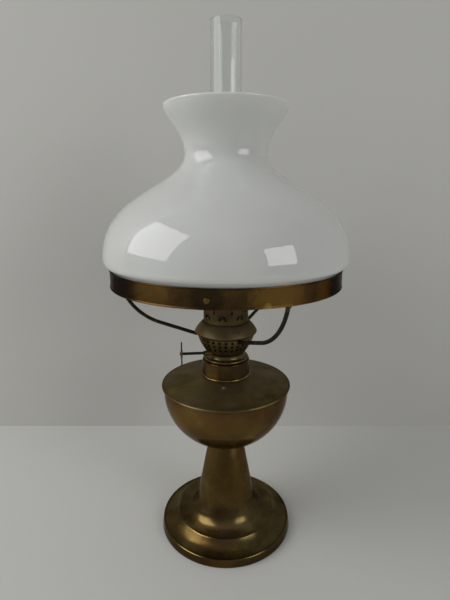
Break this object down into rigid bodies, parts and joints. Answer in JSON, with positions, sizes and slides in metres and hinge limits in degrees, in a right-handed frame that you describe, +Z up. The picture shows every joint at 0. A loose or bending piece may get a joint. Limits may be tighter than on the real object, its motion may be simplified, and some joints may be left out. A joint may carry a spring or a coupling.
{
  "type": "kerosene table lamp",
  "caption": "Brass table lamp with a spun foot, fuel font and round-wick burner, a clear chimney, and an opal glass shade on a lift-off wire carrier.",
  "frame": {"origin": "centre of the underside, on the table", "axes": "+Z up along the lamp's axis; the wick knob is on the -X side; the picture looks along +Y"},
  "size_m": [0.2506, 0.2506, 0.5427],
  "materials": {
    "stand_brass": "aged polished brass",
    "burner_brass": "heat-darkened brass",
    "dark_wire": "dark patina",
    "steel": "plain",
    "iron": "rough cast",
    "felt": "felt",
    "cotton": "woven cotton",
    "opal_glass": "glossy opal",
    "clear_glass": "clear"
  },
  "bodies": {
    "stand": {"foot": "stand_brass", "foot_weight": "iron", "base_felt": "felt", "tie_rod": "steel", "tie_washer": "steel", "tie_nut": "steel", "font_boss": "stand_brass", "font_bowl": "stand_brass", "font_top": "stand_brass", "burner_collar": "stand_brass"},
    "burner": {"burner_base": "burner_brass", "burner_basket": "burner_brass", "chimney_gallery": "burner_brass", "wick_tube": "burner_brass", "air_tube": "burner_brass", "shaft_bracket": "burner_brass", "shaft_bush": "burner_brass"},
    "raiser": {"wick_shaft": "dark_wire", "sprockets": "steel", "wick_knob": "stand_brass"},
    "wick": {"wick": "cotton"},
    "chimney": {"chimney": "clear_glass"},
    "carrier": {"carrier_hub": "stand_brass", "arm_right": "dark_wire", "arm_left": "dark_wire", "arm_rear": "dark_wire", "shade_ring": "stand_brass", "ring_screws": "stand_brass"},
    "shade": {"shade": "opal_glass"}
  },
  "joints": [
    {"name": "burner_lift", "type": "slide", "parent": "stand", "child": "burner", "axis": [0, 0, 1], "range_m": [0, 0.1]},
    {"name": "knob_turn", "type": "hinge", "parent": "burner", "child": "raiser", "pos_m": [0.00144, -0.01372, 0.22017], "axis": [0.9945, 0.1045, 0], "range_deg": [-170, 100]},
    {"name": "wick_rise", "type": "slide", "parent": "burner", "child": "wick", "axis": [0, 0, 1], "range_m": [-0.00996, 0.00586]},
    {"name": "chimney_lift", "type": "slide", "parent": "burner", "child": "chimney", "axis": [0, 0, 1], "range_m": [0, 0.22]},
    {"name": "carrier_lift", "type": "slide", "parent": "burner", "child": "carrier", "axis": [0, 0, 1], "range_m": [0, 0.31]},
    {"name": "shade_lift", "type": "slide", "parent": "carrier", "child": "shade", "axis": [0, 0, 1], "range_m": [0, 0.25]}
  ],
  "couplings": [
    {"joint": "wick_rise", "follows": "knob_turn", "m_per_rad": 0.003355}
  ]
}
